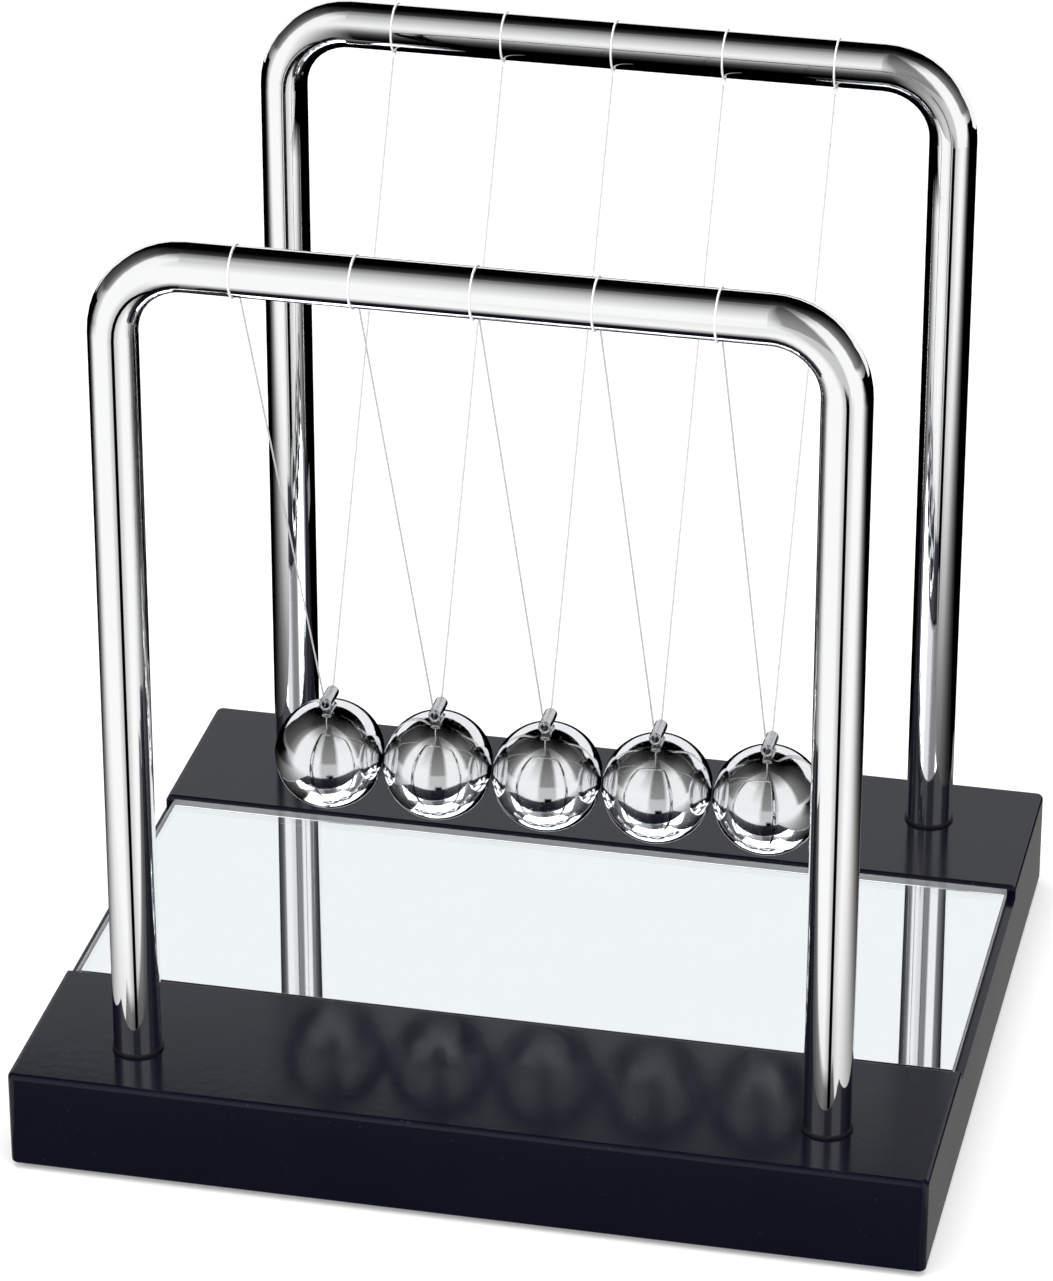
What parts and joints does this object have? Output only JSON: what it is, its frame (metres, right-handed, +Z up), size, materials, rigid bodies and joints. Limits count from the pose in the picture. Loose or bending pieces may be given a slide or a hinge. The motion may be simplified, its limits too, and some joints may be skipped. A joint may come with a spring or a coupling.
{
  "type": "newtons cradle",
  "caption": "Desk toy: steel balls on V-shaped lines between two bent chrome tube frames, on a black base with a mirror strip.",
  "frame": {"origin": "on the table, under the middle ball", "axes": "+X along the row of balls to the right, +Y to the rear frame, +Z up"},
  "size_m": [0.18, 0.156, 0.1928],
  "materials": {
    "black_lacquer": "black gloss lacquer over fibreboard",
    "mirror_face": "back-silvered glass, ground edges",
    "mounting_tape": "matt tape",
    "frame_chrome": "bright chrome plate on steel tube",
    "ball_steel": "polished steel",
    "eyelet_steel": "bright plated steel",
    "insert_brass": "machined",
    "zinc_steel": "zinc plated",
    "black_rubber": "matt moulded rubber",
    "nylon_line": "clear drawn nylon"
  },
  "bodies": {
    "stand": {"base_block": "black_lacquer", "mirror_plate": "mirror_face", "mirror_tape": "mounting_tape", "front_frame": "frame_chrome", "rear_frame": "frame_chrome", "leg_insert_front_left": "insert_brass", "leg_insert_front_right": "insert_brass", "leg_insert_rear_left": "insert_brass", "leg_insert_rear_right": "insert_brass", "leg_ring_front_left": "black_rubber", "leg_ring_front_right": "black_rubber", "leg_ring_rear_left": "black_rubber", "leg_ring_rear_right": "black_rubber", "pad_front_left": "black_rubber", "pad_front_right": "black_rubber", "pad_rear_left": "black_rubber", "pad_rear_right": "black_rubber", "frame_screws": "zinc_steel", "frame_washers": "zinc_steel", "front_loop_1": "nylon_line", "front_loop_2": "nylon_line", "front_loop_3": "nylon_line", "front_loop_4": "nylon_line", "front_loop_5": "nylon_line", "rear_loop_1": "nylon_line", "rear_loop_2": "nylon_line", "rear_loop_3": "nylon_line", "rear_loop_4": "nylon_line", "rear_loop_5": "nylon_line"},
    "pendulum_1": {"ball_1": "ball_steel", "eyelet_1": "eyelet_steel", "line_1": "nylon_line"},
    "pendulum_2": {"ball_2": "ball_steel", "eyelet_2": "eyelet_steel", "line_2": "nylon_line"},
    "pendulum_3": {"ball_3": "ball_steel", "eyelet_3": "eyelet_steel", "line_3": "nylon_line"},
    "pendulum_4": {"ball_4": "ball_steel", "eyelet_4": "eyelet_steel", "line_4": "nylon_line"},
    "pendulum_5": {"ball_5": "ball_steel", "eyelet_5": "eyelet_steel", "line_5": "nylon_line"}
  },
  "joints": [
    {"name": "swing_1", "type": "hinge", "parent": "stand", "child": "pendulum_1", "pos_m": [-0.04464, 0, 0.18234], "axis": [0, 1, 0], "range_deg": [0, 60]},
    {"name": "swing_2", "type": "hinge", "parent": "stand", "child": "pendulum_2", "pos_m": [-0.02232, 0, 0.18234], "axis": [0, 1, 0], "range_deg": [-0.02, 0.02]},
    {"name": "swing_3", "type": "hinge", "parent": "stand", "child": "pendulum_3", "pos_m": [0, 0, 0.18234], "axis": [0, -1, 0], "range_deg": [-0.02, 0.02]},
    {"name": "swing_4", "type": "hinge", "parent": "stand", "child": "pendulum_4", "pos_m": [0.02232, 0, 0.18234], "axis": [0, -1, 0], "range_deg": [-0.02, 0.02]},
    {"name": "swing_5", "type": "hinge", "parent": "stand", "child": "pendulum_5", "pos_m": [0.04464, 0, 0.18234], "axis": [0, -1, 0], "range_deg": [0, 60]}
  ]
}
